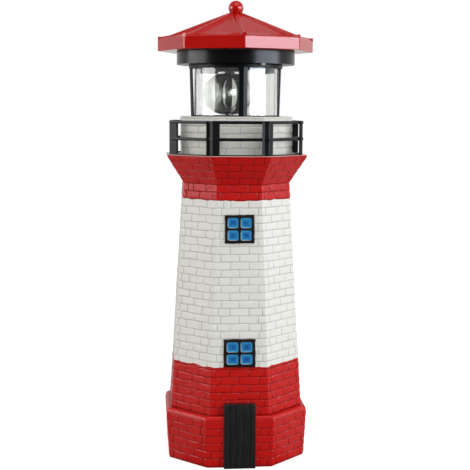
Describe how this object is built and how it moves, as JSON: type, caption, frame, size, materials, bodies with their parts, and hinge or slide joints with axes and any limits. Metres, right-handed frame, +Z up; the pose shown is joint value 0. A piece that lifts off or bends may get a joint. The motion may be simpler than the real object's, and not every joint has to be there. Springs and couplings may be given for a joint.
{
  "type": "garden lighthouse ornament",
  "caption": "Octagonal cast lighthouse garden lamp with brick walls, a railed gallery, a clear lantern with a turning lens, and a lift-off ribbed roof with solar cells.",
  "frame": {"origin": "middle of the foot, on the ground", "axes": "+Z up the tower, the door and the windows face -Y, +X to the right of someone who looks at the door"},
  "size_m": [0.1232, 0.1232, 0.36],
  "materials": {
    "cast_resin": "painted, matt",
    "red_plastic": "satin gloss",
    "black_plastic": "satin gloss",
    "clear_plastic": "clear, polished",
    "seal_rubber": "matt",
    "steel": "plated",
    "brass": "turned",
    "nylon": "moulded",
    "solar_glass": "cells under clear resin",
    "cell_sleeve": "shrink sleeve",
    "board_laminate": "lacquered",
    "lead_red": "soft insulation",
    "lead_black": "soft insulation",
    "pale_plastic": "moulded"
  },
  "bodies": {
    "tower": {"tower_casting": "cast_resin", "gallery_railing": "black_plastic", "lantern_cage": "black_plastic", "lantern_glazing": "clear_plastic", "glazing_foot_seal": "seal_rubber", "glazing_top_seal": "seal_rubber", "cage_screws": "steel", "pivot_bush": "brass"},
    "lamp_head": {"drum_housing": "black_plastic", "drum_gasket": "seal_rubber", "roof_soffit": "red_plastic", "roof_shell": "red_plastic", "roof_ball": "red_plastic", "solar_cell_1": "solar_glass", "solar_cell_2": "solar_glass", "solar_cell_3": "solar_glass", "solar_cell_4": "solar_glass", "housing_screws": "steel", "battery_cell": "cell_sleeve", "battery_contact": "steel", "battery_spring": "steel", "battery_cover": "black_plastic", "battery_cover_screw": "steel", "circuit_board": "board_laminate", "board_screws": "steel", "gear_motor": "steel", "motor_bracket": "steel", "motor_screws": "steel", "led_tube": "black_plastic", "led_lamp": "clear_plastic", "solar_lead_left": "lead_red", "solar_lead_right": "lead_red", "battery_lead_plus": "lead_red", "battery_lead_minus": "lead_black", "motor_lead": "lead_red", "switch_lead": "lead_black", "switch_body": "steel"},
    "lens_rotor": {"lens_carrier": "black_plastic", "lens_front": "clear_plastic", "lens_rear": "clear_plastic", "lens_gear": "nylon", "pivot_pin": "steel"},
    "motor_pinion": {"pinion_gear": "nylon", "motor_shaft": "steel"},
    "switch_knob": {"switch_knob": "pale_plastic"}
  },
  "joints": [
    {"name": "head_lift", "type": "slide", "parent": "tower", "child": "lamp_head", "axis": [0, 0, 1], "range_m": [0, 0.06]},
    {"name": "lens_spin", "type": "hinge", "parent": "lamp_head", "child": "lens_rotor", "pos_m": [-0.0043, 0, 0.2874], "axis": [0, 0, 1], "continuous": true},
    {"name": "pinion_spin", "type": "hinge", "parent": "lamp_head", "child": "motor_pinion", "pos_m": [-0.0043, 0.0133, 0.3142], "axis": [0, 0, 1], "continuous": true},
    {"name": "switch_slide", "type": "slide", "parent": "lamp_head", "child": "switch_knob", "axis": [0.887, 0.4617, 0], "range_m": [0, 0.0024]}
  ],
  "couplings": [
    {"joint": "pinion_spin", "follows": "lens_spin", "ratio": -2.8}
  ]
}
